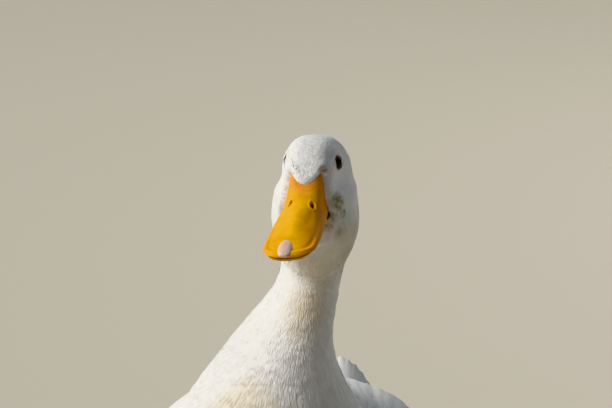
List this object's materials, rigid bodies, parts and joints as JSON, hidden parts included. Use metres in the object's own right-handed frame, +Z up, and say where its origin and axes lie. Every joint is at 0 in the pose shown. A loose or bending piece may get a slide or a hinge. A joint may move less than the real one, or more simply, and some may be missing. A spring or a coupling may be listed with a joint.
{
  "type": "duck",
  "caption": "White domestic duck of Pekin type, a still life-size model standing with neck raised: orange bill, dark eyes, folded wings, short tail and webbed feet.",
  "frame": {"origin": "middle of the footprint of the bounding box, on the floor under the feet", "axes": "+Z up, -Y the way the bird faces, +X to the bird's left"},
  "size_m": [0.201, 0.4058, 0.43],
  "materials": {
    "plumage": "soft matt white feathers",
    "bill_skin": "smooth satin orange-yellow bill skin",
    "nail_horn": "satin pinkish horn",
    "eye_dark": "wet gloss, near black",
    "leg_skin": "scaled satin orange skin",
    "claw_horn": "satin horn"
  },
  "bodies": {
    "root": {"head": "plumage", "neck": "plumage", "breast": "plumage", "trunk": "plumage", "rump": "plumage", "tail": "plumage", "upper_bill": "bill_skin", "lower_bill": "bill_skin", "bill_nail": "nail_horn", "eye_left": "eye_dark", "wing_left": "plumage", "thigh_left": "plumage", "leg_left": "leg_skin", "foot_left": "leg_skin", "claw_inner_left": "claw_horn", "claw_middle_left": "claw_horn", "claw_outer_left": "claw_horn", "claw_hind_left": "claw_horn", "eye_right": "eye_dark", "wing_right": "plumage", "thigh_right": "plumage", "leg_right": "leg_skin", "foot_right": "leg_skin", "claw_inner_right": "claw_horn", "claw_middle_right": "claw_horn", "claw_outer_right": "claw_horn", "claw_hind_right": "claw_horn"}
  },
  "joints": []
}
